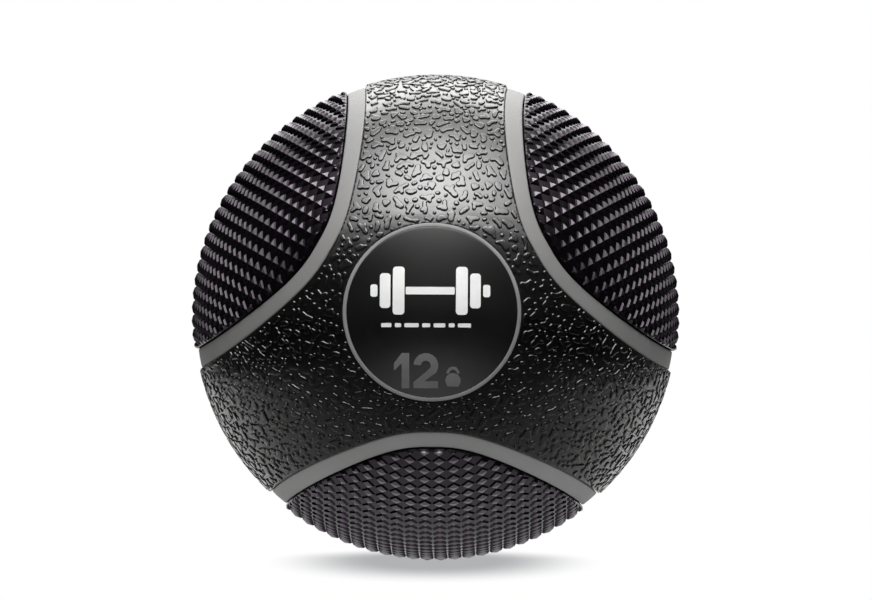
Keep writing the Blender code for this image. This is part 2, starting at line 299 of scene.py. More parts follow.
def close_shell(points, tris, dirs, region, centre):
    """Add a skirt from the border down to the underside, and an underside that follows the ball."""
    rim = border_edges(tris)
    rim_points = np.unique(rim)
    first, back = weld(dirs[rim_points], 1e6, 1100000)
    low_dirs = dirs[rim_points][first]
    foot = np.full(len(points), -1)
    foot[rim_points] = back  # points one above the other share their foot
    foot_a, foot_b = foot[rim[:, 0]], foot[rim[:, 1]]
    count = len(points)
    skirt = wall(rim[:, 0], rim[:, 1], foot_a + count, foot_b + count)
    skirt = skirt[skirt[:, 1] != skirt[:, 2]]

    # flatten round the centre direction, fill there and lift the result back on to the ball
    axis = unit(np.array(centre, float))
    side1 = unit(np.cross(axis, [0.3, 0.5, 0.8]))
    side2 = np.cross(axis, side1)

    def flat(vectors):
        return np.stack([vectors @ side1, vectors @ side2], -1) / (1 + vectors @ axis)[:, None]

    inner, _ = ico_grid(16)
    inner = inner[inner @ axis > -0.2]
    inner = inner[region(inner) > 1.2]
    flat_points = np.concatenate([flat(low_dirs), flat(inner)])
    turned = foot_a != foot_b
    fixed = np.unique(np.sort(np.stack([foot_a, foot_b], -1)[turned], 1), axis=0)
    vectors = [Vector(point) for point in flat_points.tolist()]
    filled = delaunay_2d_cdt(vectors, fixed.tolist(), [], 2, 1e-9, True)
    flat_out = np.array([(point.x, point.y) for point in filled[0]])
    square = (flat_out**2).sum(1)
    lifted = 2 * (flat_out[:, :1] * side1 + flat_out[:, 1:] * side2) + (1 - square)[:, None] * axis
    lifted = lifted / (1 + square)[:, None]
    target, extra = np.full(len(flat_out), -1), []
    for k, sources in enumerate(filled[3]):
        feet = [i for i in sources if i < len(low_dirs)]
        if feet:
            target[k] = count + feet[0]
        else:
            target[k] = count + len(low_dirs) + len(extra)
            extra.append(lifted[k])
    under = target[np.array(filled[2], int)]
    points = np.concatenate([points, low_dirs * R_UNDER, np.array(extra) * R_UNDER])
    wrong = outwardness(points, under) > 0
    under[wrong] = under[wrong][:, ::-1]
    return points, np.concatenate([tris, skirt, under])


def link_object(name, mesh):
    obj = bpy.data.objects.new(name, mesh)
    bpy.context.scene.collection.objects.link(obj)
    return obj


def mesh_object(name, points, faces, smooth, round_at=None):
    """Edges bent by more than smooth degrees are sharp; round_at marks points whose edges stay
    smooth however sharp they are."""
    mesh = bpy.data.meshes.new(name)
    points = np.ascontiguousarray(points, np.float32)
    mesh.vertices.add(len(points))
    mesh.vertices.foreach_set("co", points.ravel())
    mesh.loops.add(faces.size)
    mesh.loops.foreach_set("vertex_index", faces.astype(np.int32).ravel())
    mesh.polygons.add(len(faces))
    starts = np.arange(0, faces.size, faces.shape[1], dtype=np.int32)
    mesh.polygons.foreach_set("loop_start", starts)
    mesh.update(calc_edges=True)
    mesh.validate()
    mesh.shade_smooth()
    mesh.set_sharp_from_angle(angle=math.radians(smooth))
    if round_at is not None:
        sharp = mesh.attributes["sharp_edge"]
        flags = np.zeros(len(mesh.edges), bool)
        sharp.data.foreach_get("value", flags)
        ends = np.zeros(len(mesh.edges) * 2, np.int32)
        mesh.edges.foreach_get("vertices", ends)
        soft = np.concatenate([round_at, np.zeros(len(points) - len(round_at), bool)])
        flags &= ~soft[ends.reshape(-1, 2)].all(1)
        sharp.data.foreach_set("value", flags)
    return link_object(name, mesh)


# ---------------------------------------------------------------- the pebble grain
# slow waves of a moulded surface: 7 mm long, in random directions and phases
WAVES = 14
WAVE_DIRS = unit(rng.normal(size=(WAVES, 3))) * (2 * math.pi / 7.0)
WAVE_PHASES = rng.uniform(0, 2 * math.pi, WAVES)
WAVE_HEIGHT = 0.018  # mm

# sizes of the grain, in mm unless noted
PEBBLE_GAP = 0.50  # least distance between pebbles at half height
BORDER_GAP = 0.36  # least distance from a pebble to a border
DISC_LIMIT = 1.7  # no disc of a pebble is larger than this
GRAIN_REACH = 2.5  # discs further away than this don't count at a point
GRAIN_BLEND = 0.10  # rounding where discs of a pebble meet
GRAIN_FAR = -1.8  # height field where no disc is near
WALL_HALF = 0.10 * MM  # metres; half the run of a pebble's sloping wall
CROWN = 0.04 * MM  # metres; rise of a pebble's top from its outline
CROWN_RUN = 0.35
BORDER_DROP = 0.28 * MM  # metres; covers are pressed down along their border


def swell(dirs):
    """Slow unevenness of a moulded surface, in metres."""
    waves = np.cos(dirs @ (WAVE_DIRS.T * CREST_MM) + WAVE_PHASES).sum(1)
    return waves * math.sqrt(2 / WAVES) * WAVE_HEIGHT * MM


def near_pairs(points_a, points_b, reach):
    """Indices of all pairs of a point of a and a point of b closer than reach, in the order of a."""
    size = 1 << 20

    def key(cell):
        return (cell[:, 0] * size + cell[:, 1]) * size + cell[:, 2]

    cells_a, cells_b = (np.floor(p / reach).astype(np.int64) + 4096 for p in (points_a, points_b))
    order = np.argsort(key(cells_b), kind="stable")
    keys = key(cells_b)[order]
    found_a, found_b = [], []
    for step in np.ndindex(3, 3, 3):
        wanted = key(cells_a + (np.array(step) - 1))
        start, end = np.searchsorted(keys, wanted, "left"), np.searchsorted(keys, wanted, "right")
        count = end - start
        i = np.repeat(np.arange(len(points_a)), count)
        j = order[np.repeat(end - np.cumsum(count), count) + np.arange(len(i))]
        close = ((points_a[i] - points_b[j]) ** 2).sum(1) < reach * reach
        found_a.append(i[close])
        found_b.append(j[close])
    i, j = np.concatenate(found_a), np.concatenate(found_b)
    order = np.argsort(i, kind="stable")
    return i[order], j[order]


# The pebble kinds give, disc by disc, the x, y and radius (mm) of one disc of every pebble.
def blob_discs(spin):
    """Three stout arms, some very short, from one point."""
    count = len(spin)
    for arm in range(3):
        way = spin + arm * rng.uniform(1.5, 2.6, count)
        reach = rng.uniform(0.5, 3.4, count)
        thick = rng.uniform(0.90, 1.60, count)
        taper = rng.uniform(0.70, 1.0, count)
        for s in np.linspace(0, 1, 6):
            yield np.cos(way) * reach * s, np.sin(way) * reach * s, thick * (1 - (1 - taper) * s)


def worm_discs(spin):
    """Bent or straight bars of slightly uneven thickness."""
    count = len(spin)
    length = rng.uniform(2.0, 8.0, count) * rng.uniform(0.6, 1, count)
    bend = rng.normal(0, 0.24, count)
    thick = rng.uniform(0.80, 1.20, count)
    for s in np.linspace(-0.5, 0.5, 13):
        turn = spin + bend * s * length
        x = np.cos(spin) * s * length - np.sin(spin) * bend * (s * length) ** 2 / 2
        y = np.sin(spin) * s * length + np.cos(spin) * bend * (s * length) ** 2 / 2
        yield x, y, thick * (1 + 0.10 * np.sin(5 * s + turn))


def dot_discs(spin):
    """Round and oval dots."""
    count = len(spin)
    thick = rng.uniform(0.52, 1.10, count)
    stretch = rng.uniform(0.0, 0.7, count)
    for s in (-1, 0, 1):
        yield np.cos(spin) * s * stretch, np.sin(spin) * s * stretch, thick


# (kind, pebbles tried a round, rounds), the large first
PEBBLE_ROUNDS = ((blob_discs, 3500, 3), (worm_discs, 7000, 9), (dot_discs, 9000, 8))


def pebble_shapes(count, discs):
    """Random pebbles as runs of discs: centres on the ball (mm), radii, and each disc's pebble."""
    middle = unit(rng.normal(size=(count, 3)))
    tan1, tan2 = tangents(middle)
    spin = rng.uniform(0, 2 * math.pi, count)
    x, y, radii = (np.concatenate(part) for part in zip(*discs(spin)))
    owner = np.tile(np.arange(count), len(x) // count)
    offset = (x[:, None] * tan1[owner] + y[:, None] * tan2[owner]) * (MM / R_CREST)
    return unit(middle[owner] + offset) * CREST_MM, radii, owner


def pack_pebbles():
    """Drop pebbles on both covers, keeping those that stay clear of the borders and each other."""
    reach = DISC_LIMIT * 2 + PEBBLE_GAP
    placed, placed_radii = np.zeros((0, 3)), np.zeros(0)
    rounds = [(discs, count) for discs, count, times in PEBBLE_ROUNDS for _ in range(times)]
    for discs, count in rounds:
        centres, radii, owner = pebble_shapes(count, discs)
        dirs = unit(centres)
        margin = cover_margin(dirs, np.where(dirs[:, 1] < 0, FRONT, BACK))
        margin = margin * (CREST_MM * math.pi / 180)
        bad = np.zeros(count, bool)
        bad[owner[margin < radii + BORDER_GAP]] = True
        if len(placed):
            i, j = near_pairs(centres, placed, reach)
            apart = np.linalg.norm(centres[i] - placed[j], axis=1)
            bad[owner[i[apart < radii[i] + placed_radii[j] + PEBBLE_GAP]]] = True
        keep = ~bad[owner]
        centres, radii, owner = centres[keep], radii[keep], owner[keep]
        i, j = near_pairs(centres, centres, reach)
        apart = np.linalg.norm(centres[i] - centres[j], axis=1)
        hit = (owner[i] > owner[j]) & (apart < radii[i] + radii[j] + PEBBLE_GAP)
        clash = np.unique(np.stack([owner[i[hit]], owner[j[hit]]], -1), axis=0)
        for late, early in clash.tolist():  # in rising order, so each one's rivals are settled
            if not bad[late] and not bad[early]:
                bad[late] = True
        keep = ~bad[owner]
        placed = np.concatenate([placed, centres[keep]])
        placed_radii = np.concatenate([placed_radii, radii[keep]])
    return placed, placed_radii


class Grain:
    """Height field of the pebbles: distance in mm inside the outline of the nearest one."""

    def __init__(self, dirs, centres, radii):
        self.count = len(dirs)
        self.point, self.disc = near_pairs(dirs * CREST_MM, centres, GRAIN_REACH)
        self.centres, self.radii = centres, radii

    def part(self, which):
        """The same for some of the points."""
        part = copy.copy(self)
        spot = np.full(self.count, -1)
        spot[which] = np.arange(len(which))
        keep = spot[self.point] >= 0
        part.count, part.point, part.disc = len(which), spot[self.point[keep]], self.disc[keep]
        return part

    def __call__(self, dirs):
        apart = np.linalg.norm(dirs[self.point] * CREST_MM - self.centres[self.disc], axis=1)
        inside = self.radii[self.disc] - apart
        total = np.bincount(self.point, np.exp(np.clip(inside / GRAIN_BLEND, -30, 30)), self.count)
        return np.where(total > 1e-8, np.log(np.maximum(total, 1e-8)) * GRAIN_BLEND, GRAIN_FAR)


def fit_to_pebbles(dirs, tris, border, centres, radii):
    """Slide grid points on to the outlines of the pebbles. Gives the directions, the height field,
    the points moved with their uphill directions, and the triangles of the tops and the ground."""
    grain = Grain(dirs, centres, radii)
    value = grain(dirs)
    edges = plain_edges(tris)
    start, end = edges[:, 0], edges[:, 1]
    crossed = value[start] * value[end] < 0
    nearer = np.where(np.abs(value[start]) < np.abs(value[end]), start, end)
    moved = np.unique(nearer[crossed])
    moved = moved[~border[moved]]
    dirs[moved], uphill = slide_to_zero(dirs[moved], grain.part(moved), limit=0.17, step=2e-4)
    value[moved] = 0.0
    mean = value[tris].mean(1)
    flat = np.flatnonzero((value[tris] == 0).all(1))
    middle = unit(dirs[tris[flat]].mean(1))
    mean[flat] = Grain(middle, centres, radii)(middle)
    return dirs, value, moved, uphill, tris[mean > 0], tris[mean <= 0]


def pebble_cover(name, side, grid, grid_tris, centres, radii):
    def region(dirs):
        return cover_region(dirs, side)

    dirs, tris = compact(grid, grid_tris[(grid[:, 1] * side > -0.01)[grid_tris].all(1)])
    dirs, tris, border = clip(dirs, tris, region)
    dirs, value, moved, uphill, tops, ground = fit_to_pebbles(dirs, tris, border, centres, radii)

    # the tops get points of their own, drawn in a little, and the ground's outline goes a little
    # out, for sloping walls
    count = len(dirs)
    in_tops = np.zeros(count, bool)
    in_tops[tops.ravel()] = True
    top_ids = np.full(count, -1)
    top_ids[in_tops] = count + np.arange(in_tops.sum())
    lift = swell(dirs)
    drop = np.where(border, BORDER_DROP, 0.0)
    low, high = dirs.copy(), dirs.copy()
    low[moved] = unit(low[moved] - uphill * (WALL_HALF / R_CREST))
    high[moved] = unit(high[moved] + uphill * (WALL_HALF / R_CREST))
    rise = CROWN * (1 - np.exp(-np.maximum(value, 0) / CROWN_RUN))
    low_points = low * (R_CREST - GRAIN + lift - drop)[:, None]
    high_points = high * (R_CREST - CROWN + lift + rise - drop)[:, None]
    points = np.concatenate([low_points, high_points[in_tops]])
    dirs = np.concatenate([low, high[in_tops]])
    rimmed = np.zeros(count, bool)
    rimmed[moved] = True
    rimmed = np.concatenate([np.zeros(count, bool), rimmed[in_tops]])

    # walls stand where a border of the tops meets one of the ground
    top_edges, ground_edges = border_edges(tops), border_edges(ground)
    top_key = top_edges[:, 1].astype(np.int64) * (count + 1) + top_edges[:, 0]
    ground_key = ground_edges[:, 0].astype(np.int64) * (count + 1) + ground_edges[:, 1]
    a, b = top_edges[np.isin(top_key, ground_key)].T
    tris = np.concatenate([top_ids[tops], ground, wall(top_ids[a], top_ids[b], a, b)])
    points, tris, dirs, rimmed = compact(points, tris, dirs, rimmed)
    points, tris = close_shell(points, tris, dirs, region, (0, side, 0))
    return mesh_object(name, points, tris, 32, rimmed)


# ---------------------------------------------------------------- studded grip panels
STUD_RIM = 0.75  # share of the half pitch where a stud's low top ends and its steep flank begins
STUD_SHARES = [0.03, STUD_RIM, 1.0]  # from the tip outwards
STUD_HEIGHTS = [0.985, 0.56, 0.0]  # height at those shares
STUD_COLS, STUD_ROWS = 13, 23  # studs either side of the panel's centre
STUD_LINES = [-1.0, -0.75, -0.5, -0.25, 0.0, 0.25, 0.5, 0.75]  # mesh lines across half pitches
FADE_START, FADE_RUN = 0.12, 0.40  # degrees from the outline over which the studs rise
PANEL_DROP = 0.30 * MM  # panels are pressed down along their border


def stud_height(dirs, azimuth):
    """Four-sided studs set cornerwise in rows: low pyramid tops, steep flanks, flat ground; 0 to 1."""
    across, up = panel_coords(dirs, azimuth)
    part_x = np.abs((across * np.cos(np.radians(up)) / (STUD_X / 2)) % 2 - 1)
    part_y = np.abs((up / (STUD_Y / 2)) % 2 - 1)
    height = np.interp(part_x + part_y, STUD_SHARES, STUD_HEIGHTS)
    inside = outline_distance(dirs, azimuth, PANEL) - SEAM
    return height * np.clip((inside - FADE_START) / FADE_RUN, 0, 1)


def stud_lines(half_count, pitch):
    """Mesh lines over all studs one way: their place within a stud, and on the ball in degrees."""
    within = np.array(STUD_LINES * (2 * half_count) + [-1.0])
    places = [(2 * k + 1 + line) * pitch / 2
              for k in range(-half_count, half_count) for line in STUD_LINES]
    return within, np.array(places + [2 * half_count * pitch / 2])


def stud_panel(name, azimuth):
    def region(dirs):
        return outline_distance(dirs, azimuth, PANEL) - SEAM

    within_x, xs = stud_lines(STUD_COLS, STUD_X)
    within_y, ys = stud_lines(STUD_ROWS, STUD_Y)
    grid_x, grid_y = np.meshgrid(xs, ys, indexing="ij")
    across = grid_x / np.cos(np.radians(grid_y))
    dirs = direction(90 - grid_y, azimuth + across).reshape(-1, 3)
    count_x, count_y = len(xs), len(ys)
    i, j = np.meshgrid(np.arange(count_x - 1), np.arange(count_y - 1), indexing="ij")
    i, j = i.ravel(), j.ravel()
    here, right = i * count_y + j, (i + 1) * count_y + j
    above, diagonal = here + 1, right + 1
    mid_x = within_x[i] + np.where(within_x[i + 1] > within_x[i], within_x[i + 1], 1.0)
    mid_y = within_y[j] + np.where(within_y[j + 1] > within_y[j], within_y[j + 1], 1.0)
    rising = (mid_x * mid_y < 0)[:, None]  # each cell is split along the ridge of its stud

    def pick(one, other):
        return np.where(rising, np.stack(one, -1), np.stack(other, -1))

    tris = np.concatenate([
        pick([here, right, diagonal], [here, right, above]),
        pick([here, diagonal, above], [right, diagonal, above]),
    ])
    tris = tris[(np.abs(across).ravel() < 70)[tris].all(1)]
    dirs, tris, border = clip(dirs, tris, region, 0.12)
    radius = R_TIP - STUD_H + STUD_H * stud_height(dirs, azimuth) + swell(dirs) * 0.6
    radius = radius - np.where(border, PANEL_DROP, 0.0)
    points = dirs * radius[:, None]
    wrong = outwardness(points, tris) < 0
    tris[wrong] = tris[wrong][:, ::-1]
    points, tris = close_shell(points, tris, dirs, region, direction(90.0, azimuth))
    if azimuth == PANELS["bottom"]:
        points[:, 2] = np.maximum(points[:, 2], FLOOR_Z)  # the lowest tips stand flat on the floor
    return mesh_object(name, points, tris, 16)


# ---------------------------------------------------------------- trim bands
BAND_STEPS = 760
BAND_DEPTH = 2.5  # mm
# rounded shoulders and a faint crown: share across from the panel outwards, drop in mm
BAND_PROFILE = [
    (0, BAND_DEPTH), (0, 0.55), (0.012, 0.36), (0.03, 0.20), (0.055, 0.08), (0.09, 0.02),
    (0.16, 0.0), (0.33, -0.03), (0.5, -0.04), (0.67, -0.03), (0.84, 0.0),
    (0.91, 0.02), (0.945, 0.08), (0.97, 0.20), (0.988, 0.36), (1, 0.55), (1, BAND_DEPTH),
]
BAND_TOP = (4, 14)  # first ring of the upper face, and the ring after its last


def outline_points(outline, grow, angle):
    half_width, half_height, power_x, power_y = outline
    cos, sin = np.cos(angle), np.sin(angle)
    return ((half_width + grow) * np.sign(cos) * np.abs(cos) ** (2 / power_x),
            (half_height + grow) * np.sign(sin) * np.abs(sin) ** (2 / power_y))


def even_parameters(count):
    """Outline parameters that space points evenly along the band."""
    angle = np.linspace(0, 2 * math.pi, 40001)
    across, up = outline_points(BAND, 0.0, angle)
    steps = np.linalg.norm(np.diff(direction(90 - up, across), axis=0), axis=1)
    run = np.concatenate([[0], np.cumsum(steps)])
    return np.interp(np.linspace(0, run[-1], count, endpoint=False), run, angle)


def trim_band(name, azimuth):
    angle = even_parameters(BAND_STEPS)
    outer_x, outer_y = outline_points(BAND, -SEAM, angle)
    inner_x, inner_y = outline_points(PANEL, SEAM, angle)
    rings = []
    for share, drop in BAND_PROFILE:
        across = inner_x + (outer_x - inner_x) * share
        up = inner_y + (outer_y - inner_y) * share
        dirs = direction(90 - up, azimuth + across)
        rings.append(dirs * (R_BAND - drop * MM + swell(dirs) * 0.5)[:, None])
    inner, outer = unit(rings[0]), unit(rings[-1])
    for thirds in (2, 1):  # two rings across the underside, from the outer edge back
        between = unit((outer * thirds + inner * (3 - thirds)) / 3)
        rings.append(between * (R_BAND - BAND_DEPTH * MM))
    count = len(rings)
    points = np.concatenate(rings)
    i, j = np.meshgrid(np.arange(count), np.arange(BAND_STEPS), indexing="ij")
    row, next_row = i * BAND_STEPS, (i + 1) % count * BAND_STEPS
    next_j = (j + 1) % BAND_STEPS
    quads = np.stack([row + j, row + next_j, next_row + next_j, next_row + j], -1).reshape(-1, 4)
    corner = points[quads]
    normal = np.cross(corner[:, 1] - corner[:, 0], corner[:, 3] - corner[:, 0])
    first, stop = BAND_TOP
    top = (quads < BAND_STEPS * stop).all(1) & (quads >= BAND_STEPS * first).all(1)
    if (normal[top] * corner[top].mean(1)).sum() < 0:
        quads = quads[:, ::-1]
    return mesh_object(name, points, quads, 40)


# ---------------------------------------------------------------- turned badge pieces
RING_DEPTH, DISC_DEPTH = 1.6, 1.8  # mm
# rounded edges: degrees in from the edge, drop in mm
RING_EDGE = [(0, 0.12), (0.02, 0.04), (0.06, 0.0)]
DISC_EDGE = [(0, 0.14), (0.02, 0.05), (0.06, 0.01), (0.12, 0.0)]
HOLE_EDGE = [(0.12, 0.03), (0.03, 0.12), (0, 0.3)]


def revolve(name, profile, side, steps):
    """Closed profile of (radius, height along the badge axis), turned about that axis."""
    angle = np.linspace(0, 2 * math.pi, steps, endpoint=False)
    is_ring = [radius > 1e-9 for radius, _ in profile]
    points, ids = [], []
    for k, (radius, height) in enumerate(profile):
        if is_ring[k]:
            ids.append(len(points) + np.arange(steps))
            x, z = radius * np.cos(angle), radius * np.sin(angle)
            points.extend(np.stack([x, np.full(steps, height * side), z], -1).tolist())
        else:
            ids.append(np.full(steps, len(points)))
            points.append([0.0, height * side, 0.0])
    tris = []
    for k in range(len(profile)):
        after = (k + 1) % len(profile)
        this, other = ids[k], ids[after]
        this_next, other_next = np.roll(this, -1), np.roll(other, -1)
        if is_ring[k] and is_ring[after]:
            tris.append(np.stack([this, this_next, other_next], -1))
            tris.append(np.stack([this, other_next, other], -1))
        elif is_ring[k]:
            tris.append(np.stack([this, this_next, other], -1))
        elif is_ring[after]:
            tris.append(np.stack([this, other_next, other], -1))
    tris = np.concatenate(tris)
    points = np.array(points)
    corner = points[tris]
    if (np.cross(corner[:, 0], corner[:, 1]) * corner[:, 2]).sum() < 0:
        tris = tris[:, ::-1]
    return mesh_object(name, points, tris, 35)


def polar_point(radius, polar, drop=0.0):
    """Profile point at an angle from the pole, sunk by drop mm."""
    depth = radius - drop * MM
    return depth * math.sin(math.radians(polar)), depth * math.cos(math.radians(polar))


def badge_ring(name, side):
    inner, outer = RING_IN + RING_GAP, RING_OUT - RING_GAP
    stations = [(inner, RING_DEPTH)]
    stations += [(inner + inset, drop) for inset, drop in RING_EDGE]
    stations += [(0.5 * (inner + outer), -0.01)]
    stations += [(outer - inset, drop) for inset, drop in reversed(RING_EDGE)]
    stations += [(outer, RING_DEPTH)]
    return revolve(name, [polar_point(R_RING, *station) for station in stations], side, 360)


def badge_disc(name, side, hole):
    """Disc of the badge; hole is the radius of a hole in its middle, or zero."""
    edge = RING_IN - RING_GAP
    inner = math.degrees(math.asin(hole / R_BADGE))
    profile = [polar_point(R_BADGE, inner + (edge - inner) * k / 12, DISC_DEPTH) for k in range(13)]
    profile += [polar_point(R_BADGE, edge - inset, drop) for inset, drop in DISC_EDGE]
    start, stop = edge - 0.5, inner + 0.3 if hole else 0.0
    profile += [polar_point(R_BADGE, start + (stop - start) * k / 40) for k in range(40)]
    if hole:
        profile += [polar_point(R_BADGE, inner + inset, drop) for inset, drop in HOLE_EDGE]
    else:
        profile.append((0.0, R_BADGE))
    return revolve(name, profile, side, 256)


# ---------------------------------------------------------------- printed marks
# Outlines are in mm on the front badge, x to the right as seen and y up.
INK_TOP = 0.07  # mm over the badge
INK_STEP = 0.004  # mm between outlines in turn, over three levels
INK_SUNK = 0.04  # mm below the badge
INK_EDGE, INK_GRID = 1.2, 1.3  # mesh spacing along an outline and inside it
INK_CLEAR = 0.45  # inner mesh points keep this far from the outline


def rounded_box(x0, y0, x1, y1, radius):
    corners = ((x1 - radius, y1 - radius, 0), (x0 + radius, y1 - radius, 90),
               (x0 + radius, y0 + radius, 180), (x1 - radius, y0 + radius, 270))
    points = []
    for x, y, start in corners:
        for k in range(7):
            angle = math.radians(start + 90 * k / 6)
            points.append((x + radius * math.cos(angle), y + radius * math.sin(angle)))
    return np.array(points)


def arc_points(x, y, radius_x, radius_y, start, end, steps):
    return [(x + radius_x * math.cos(angle), y + radius_y * math.sin(angle))
            for angle in np.radians(np.linspace(start, end, steps))]


def inside_polygon(points, polygon):
    x, y = points[:, 0:1], points[:, 1:2]
    x1, y1 = polygon[:, 0], polygon[:, 1]
    x2, y2 = np.roll(x1, -1), np.roll(y1, -1)
    rise = np.where(y2 == y1, 1e-12, y2 - y1)
    hits = ((y1 > y) != (y2 > y)) & (x < (x2 - x1) * (y - y1) / rise + x1)
    return hits.sum(1) % 2 == 1


def fill_outline(outline):
    """Even mesh inside an outline: points and triangles."""
    loop = []
    for start, end in zip(outline, np.roll(outline, -1, axis=0)):
        parts = max(1, int(np.linalg.norm(end - start) / INK_EDGE))
        loop += [start + (end - start) * k / parts for k in range(parts)]
    loop = np.array(loop)
    edges = [(k, (k + 1) % len(loop)) for k in range(len(loop))]
    low, high = loop.min(0), loop.max(0)
    grid_x, grid_y = np.meshgrid(*(np.arange(low[k], high[k], INK_GRID) for k in (0, 1)))
    grid = np.stack([grid_x.ravel(), grid_y.ravel()], -1)
    clear = np.min(np.linalg.norm(grid[:, None] - loop[None], axis=2), axis=1) > INK_CLEAR
    grid = grid[inside_polygon(grid, loop) & clear]
    vectors = [Vector(point) for point in np.concatenate([loop, grid]).tolist()]
    filled = delaunay_2d_cdt(vectors, edges, [], 0, 1e-7, True)
    flat = np.array([(point.x, point.y) for point in filled[0]])
    faces = np.array(filled[2], int)
    faces = faces[inside_polygon(flat[faces].mean(1), loop)]
    side1, side2 = flat[faces[:, 1]] - flat[faces[:, 0]], flat[faces[:, 2]] - flat[faces[:, 0]]
    turn = side1[:, 0] * side2[:, 1] - side1[:, 1] * side2[:, 0]
    solid = np.abs(turn) > 1e-9
    faces, turn = faces[solid], turn[solid]
    faces[turn < 0] = faces[turn < 0][:, ::-1]
    return flat, faces


def print_mark(name, outlines):
    """A thin layer of ink lying on the front badge."""
    points, tris, start = [], [], 0
    radius = R_BADGE / MM
    for layer, outline in enumerate(outlines):
        flat, faces = fill_outline(outline)
        y = -np.sqrt(radius * radius - (flat**2).sum(1))
        dirs = unit(np.stack([flat[:, 0], y, flat[:, 1]], -1))
        points += [dirs * (radius + INK_TOP + INK_STEP * (layer % 3)), dirs * (radius - INK_SUNK)]
        count = len(flat)
        a, b = border_edges(faces).T
        shell = [faces, faces[:, ::-1] + count, wall(a, b, a + count, b + count)]
        tris.append(np.concatenate(shell) + start)
        start += 2 * count
    return mesh_object(name, np.concatenate(points) * MM, np.concatenate(tris), 30)


def dumbbell(x, y, scale):
    """Plain dumbbell: bar, two plates a side and end stubs."""
    plates = ((10.9, 15.9, 10.2, 1.5), (16.9, 21.4, 7.4, 1.4), (22.4, 25.4, 2.6, 0.9))
    parts = [rounded_box(-10.4, -1.6, 10.4, 1.6, 0.5)]
    for side in (-1, 1):
        for near, far, half_height, radius in plates:
            x0, x1 = sorted((side * near, side * far))
            parts.append(rounded_box(x0, -half_height, x1, half_height, radius))
    return [part * scale + np.array([x, y]) for part in parts]


def dashed_rule(x, y0, y1, gap, lengths):
    dashes = []
    for length in lengths:
        dashes.append(rounded_box(x, y0, x + length, y1, 0.5))
        x += length + gap
    return dashes


def numeral_one(x, y, height, width, stroke):
    """Upright numeral one: a stem with a slanted flag."""
    top, right = y + height, x + width
    return np.array([
        (x, top - stroke * 1.05 - 1.0), (right - stroke, top), (right, top), (right, y),
        (right - stroke, y), (right - stroke, top - stroke * 1.35), (x, top - stroke * 2.05 - 1.0),
    ])


def numeral_two(x, y, height, width, stroke):
    """Round-topped numeral two with a straight back and a flat foot."""
    outer, inner, foot = width / 2, width / 2 - stroke, stroke * 0.94
    mid_x, mid_y = x + width / 2, y + height - width / 2
    base = [(x + stroke * 1.42, y + foot), (x + width, y + foot), (x + width, y), (x, y),
            (x, y + foot * 0.86)]
    return np.array(arc_points(mid_x, mid_y, outer, outer, 176, -36, 26) + base
                    + arc_points(mid_x, mid_y, inner, inner, -36, 176, 26))


def kettle(x, y):
    """Small round weight with a flat foot and a handle."""
    angle = np.linspace(0, 2 * math.pi, 36, endpoint=False)
    body = np.stack([x + 3.4 * np.cos(angle), y + 3.4 * np.sin(angle)], -1)
    body = body[body[:, 1] > y - 2.9]
    handle = np.array(arc_points(x, y + 3.2, 2.9, 3.1, 0, 180, 18)
                      + arc_points(x, y + 3.2, 1.7, 1.8, 180, 0, 18))
    return [body, handle]


# ---------------------------------------------------------------- node trees
class Shader:
    """Short hand for building a node tree."""

    def __init__(self, tree):
        self.tree = tree

    def put(self, socket, value):
        if isinstance(value, bpy.types.NodeSocket):
            self.tree.links.new(value, socket)
        else:
            socket.default_value = value

    def node(self, kind, inputs=None, **settings):
        node = self.tree.nodes.new("ShaderNode" + kind)
        for key, value in settings.items():
            setattr(node, key, value)
        for key, value in (inputs or {}).items():
            self.put(node.inputs[key], value)
        return node

    def math(self, operation, *values):
        return self.node("Math", dict(enumerate(values)), operation=operation).outputs[0]

    def scale(self, value, by):
        return self.math("MULTIPLY", value, by)

    def mix(self, share, base, over):
        inputs = {"Factor": share, "A": base, "B": over}
        return self.node("Mix", inputs, data_type="RGBA").outputs["Result"]

    def ramp(self, value, span=(0.3, 0.7), to=(0.0, 1.0), **settings):
        """Map the values of span to those of to."""
        inputs = {"Value": value, "From Min": span[0], "From Max": span[1],
                  "To Min": to[0], "To Max": to[1]}
        return self.node("MapRange", inputs, **settings).outputs["Result"]


# ---------------------------------------------------------------- materials
MATERIALS = {}
BUMP_DISTANCE = 0.001


